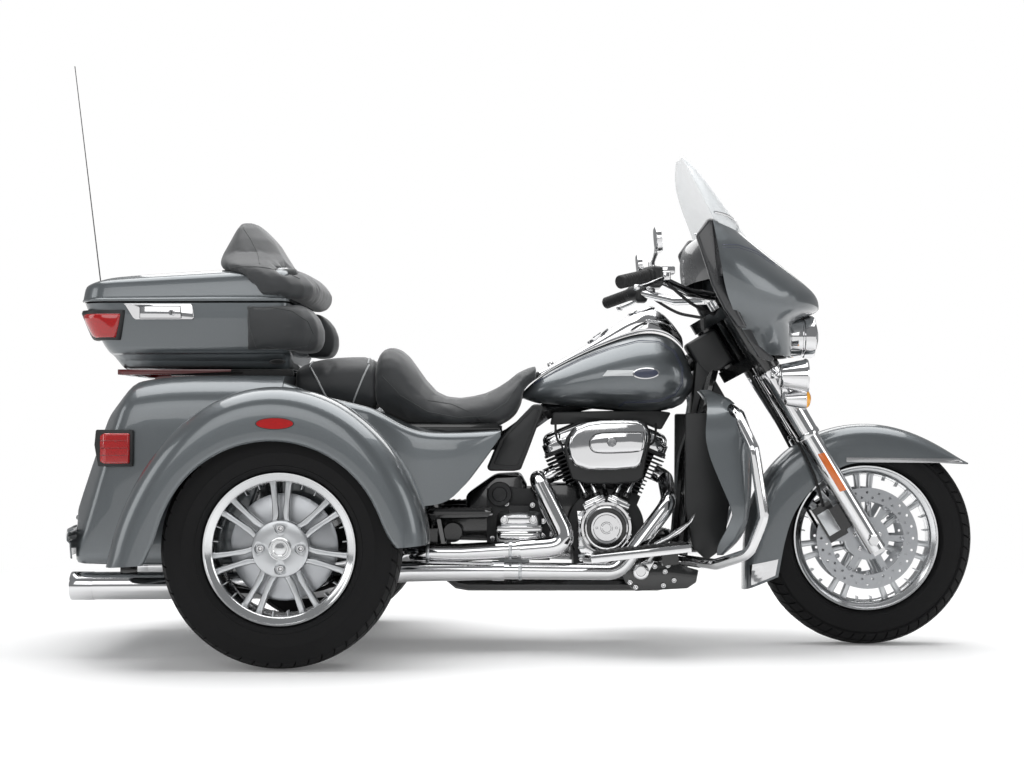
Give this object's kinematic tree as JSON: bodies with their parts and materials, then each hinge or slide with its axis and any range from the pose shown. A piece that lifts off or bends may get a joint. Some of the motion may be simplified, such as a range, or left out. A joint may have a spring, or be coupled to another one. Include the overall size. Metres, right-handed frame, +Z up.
{
  "type": "motorized trike",
  "caption": "Touring trike with a fork-mounted fairing, an open V-twin engine, a two-up seat, a hinged luggage box and a rear trunk between two driven wheels.",
  "frame": {"origin": "on the ground, under the middle of the bounding box", "axes": "+X points forward, +Y to the rider's left, +Z up; the trike stands parked on its three wheels"},
  "size_m": [2.7382, 1.39, 1.7722],
  "materials": {
    "body_paint": "metallic gloss",
    "black_paint": "gloss",
    "engine_black": "wrinkle black",
    "chrome": "polished",
    "alloy": "satin",
    "steel": "ground",
    "leather": "soft matte",
    "black_plastic": "fine grain",
    "tyre": "matte",
    "red_lens": "clear gloss",
    "amber_lens": "clear gloss",
    "lamp_glass": "clear",
    "screen": "clear, faint smoke tint"
  },
  "bodies": {
    "chassis": {"frame": "black_paint", "crankcase": "engine_black", "cylinders": "engine_black", "rocker_covers": "chrome", "air_cleaner": "chrome", "cam_cover": "chrome", "gearbox": "engine_black", "primary_cover": "chrome", "side_covers": "black_plastic", "header_pipes": "chrome", "muffler_right": "chrome", "muffler_left": "chrome", "fuel_tank": "body_paint", "tank_console": "chrome", "rider_seat": "leather", "passenger_seat": "leather", "side_panel_right": "body_paint", "side_panel_left": "body_paint", "trunk_body": "body_paint", "rear_fender_right": "body_paint", "rear_fender_left": "body_paint", "rear_bumper": "body_paint", "tail_lamps": "red_lens", "rear_axle": "black_paint", "luggage_base": "body_paint", "luggage_pods": "leather", "luggage_lamps": "red_lens", "luggage_carrier": "black_paint", "antenna": "black_plastic", "footboards": "black_plastic", "engine_guard": "chrome", "lower_fairing_right": "body_paint", "lower_fairing_left": "body_paint"},
    "luggage_lid": {"luggage_lid": "body_paint", "backrest": "leather"},
    "trunk_door": {"trunk_door": "body_paint"},
    "steering": {"fork": "alloy", "fork_shrouds": "chrome", "front_fender": "body_paint", "fairing_outer": "body_paint", "fairing_inner": "black_plastic", "windshield": "screen", "headlamp": "lamp_glass", "front_lamps": "amber_lens", "handlebar": "black_plastic", "mirrors": "chrome", "brake_calipers": "black_paint"},
    "front_wheel": {"front_tyre": "tyre", "front_rim": "alloy", "brake_discs": "steel"},
    "rear_wheel_right": {"rear_tyre_right": "tyre", "rear_rim_right": "alloy"},
    "rear_wheel_left": {"rear_tyre_left": "tyre", "rear_rim_left": "alloy"}
  },
  "joints": [
    {"name": "steering", "type": "hinge", "parent": "chassis", "child": "steering", "pos_m": [0.61884, 0, 0.884], "axis": [-0.515, 0, 0.8572], "range_deg": [-32, 32]},
    {"name": "front_wheel_spin", "type": "hinge", "parent": "steering", "child": "front_wheel", "pos_m": [1.05, 0, 0.319], "axis": [0, 1, 0], "continuous": true},
    {"name": "rear_wheel_right_spin", "type": "hinge", "parent": "chassis", "child": "rear_wheel_right", "pos_m": [-0.62, -0.553, 0.324], "axis": [0, 1, 0], "continuous": true},
    {"name": "rear_wheel_left_spin", "type": "hinge", "parent": "chassis", "child": "rear_wheel_left", "pos_m": [-0.62, 0.553, 0.324], "axis": [0, 1, 0], "continuous": true},
    {"name": "luggage_lid_hinge", "type": "hinge", "parent": "chassis", "child": "luggage_lid", "pos_m": [-0.94, 0.3135, 1.006], "axis": [-1, 0, 0], "range_deg": [0, 78]},
    {"name": "trunk_door_hinge", "type": "hinge", "parent": "chassis", "child": "trunk_door", "pos_m": [-1.24768, 0, 0.3895], "axis": [0, -1, 0], "range_deg": [0, 82]}
  ]
}
